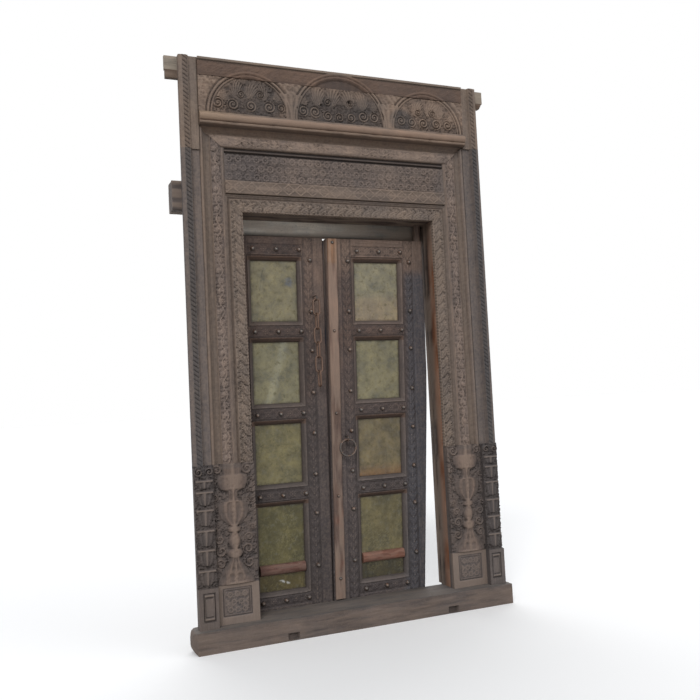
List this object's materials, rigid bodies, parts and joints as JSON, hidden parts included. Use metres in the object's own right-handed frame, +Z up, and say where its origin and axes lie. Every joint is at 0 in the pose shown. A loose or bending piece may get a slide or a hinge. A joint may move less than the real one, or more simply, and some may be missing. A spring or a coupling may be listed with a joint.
{
  "type": "carved double door with its timber surround",
  "caption": "Old carved timber double door with embossed brass panels, iron studs, a hanging chain and a pull ring, in a deep carved surround with an arched frieze and a heavy sill.",
  "frame": {"origin": "the middle of the footprint, on the underside of the sill", "axes": "+X to the right seen from the front, +Y into the doorway, +Z up"},
  "size_m": [1.7, 0.267, 2.7],
  "materials": {
    "carved_wood": "old carved hardwood, weathered grey and brown",
    "leaf_wood": "old hardwood, dry and brown",
    "dark_wood": "rough sawn hardwood, darkened",
    "pale_wood": "bare board bleached by weather",
    "sheet_brass": "embossed sheet, dull with age",
    "iron": "forged iron, dark and lightly rusted"
  },
  "bodies": {
    "frame": {"sill": "carved_wood", "left_jamb_post": "dark_wood", "right_jamb_post": "dark_wood", "left_jamb_plank": "carved_wood", "right_jamb_plank": "carved_wood", "left_pilaster": "carved_wood", "right_pilaster": "carved_wood", "left_upper_stile": "carved_wood", "right_upper_stile": "carved_wood", "inner_head": "carved_wood", "outer_head": "carved_wood", "lattice_panel": "carved_wood", "lattice_rail": "carved_wood", "ledge": "carved_wood", "frieze_panel": "carved_wood", "frieze_rail": "carved_wood", "lintel_beam": "dark_wood", "back_board": "dark_wood", "top_batten": "pale_wood", "batten_strip": "dark_wood", "head_board": "pale_wood"},
    "left_leaf": {"left_leaf_hanging_stile": "leaf_wood", "left_leaf_meeting_stile": "leaf_wood", "left_leaf_bottom_rail": "leaf_wood", "left_leaf_lower_rail": "leaf_wood", "left_leaf_middle_rail": "leaf_wood", "left_leaf_upper_rail": "leaf_wood", "left_leaf_top_rail": "leaf_wood", "left_leaf_brass_panel_1": "sheet_brass", "left_leaf_brass_panel_2": "sheet_brass", "left_leaf_brass_panel_3": "sheet_brass", "left_leaf_brass_panel_4": "sheet_brass", "left_leaf_bar": "leaf_wood", "left_leaf_boarding": "dark_wood", "left_leaf_studs": "iron", "chain_staple": "iron"},
    "right_leaf": {"right_leaf_hanging_stile": "leaf_wood", "right_leaf_meeting_stile": "leaf_wood", "right_leaf_bottom_rail": "leaf_wood", "right_leaf_lower_rail": "leaf_wood", "right_leaf_middle_rail": "leaf_wood", "right_leaf_upper_rail": "leaf_wood", "right_leaf_top_rail": "leaf_wood", "right_leaf_brass_panel_1": "sheet_brass", "right_leaf_brass_panel_2": "sheet_brass", "right_leaf_brass_panel_3": "sheet_brass", "right_leaf_brass_panel_4": "sheet_brass", "right_leaf_bar": "leaf_wood", "right_leaf_boarding": "dark_wood", "right_leaf_studs": "iron", "astragal": "leaf_wood", "astragal_nails": "iron", "ring_staple": "iron"},
    "link_1": {"chain_link_1": "iron"},
    "link_2": {"chain_link_2": "iron"},
    "link_3": {"chain_link_3": "iron"},
    "link_4": {"chain_link_4": "iron"},
    "link_5": {"chain_link_5": "iron"},
    "link_6": {"chain_link_6": "iron"},
    "ring": {"pull_ring": "iron"}
  },
  "joints": [
    {"name": "left_leaf_swing", "type": "hinge", "parent": "frame", "child": "left_leaf", "pos_m": [-0.506, 0.0855, 0.084], "axis": [0, 0, 1], "range_deg": [0, 85]},
    {"name": "right_leaf_swing", "type": "hinge", "parent": "frame", "child": "right_leaf", "pos_m": [0.396, 0.0855, 0.084], "axis": [-0.0452, 0, -0.999], "range_deg": [0, 85]},
    {"name": "link_1_swing", "type": "hinge", "parent": "left_leaf", "child": "link_1", "pos_m": [-0.132, 0.0215, 1.5742], "axis": [0, 1, 0], "range_deg": [-2, 20]},
    {"name": "link_2_swing", "type": "hinge", "parent": "link_1", "child": "link_2", "pos_m": [-0.132, 0.0215, 1.5022], "axis": [-1, 0, 0], "range_deg": [0, 20]},
    {"name": "link_3_swing", "type": "hinge", "parent": "link_2", "child": "link_3", "pos_m": [-0.132, 0.0215, 1.4315], "axis": [0, 1, 0], "range_deg": [-2, 20]},
    {"name": "link_4_swing", "type": "hinge", "parent": "link_3", "child": "link_4", "pos_m": [-0.132, 0.0215, 1.3608], "axis": [-1, 0, 0], "range_deg": [0, 20]},
    {"name": "link_5_swing", "type": "hinge", "parent": "link_4", "child": "link_5", "pos_m": [-0.132, 0.0215, 1.2901], "axis": [0, 1, 0], "range_deg": [-2, 20]},
    {"name": "link_6_swing", "type": "hinge", "parent": "link_5", "child": "link_6", "pos_m": [-0.132, 0.0215, 1.2194], "axis": [-1, 0, 0], "range_deg": [0, 20]},
    {"name": "ring_swing", "type": "hinge", "parent": "right_leaf", "child": "ring", "pos_m": [0.006, 0.0345, 0.872], "axis": [0, 1, 0], "range_deg": [-30, 30]}
  ]
}
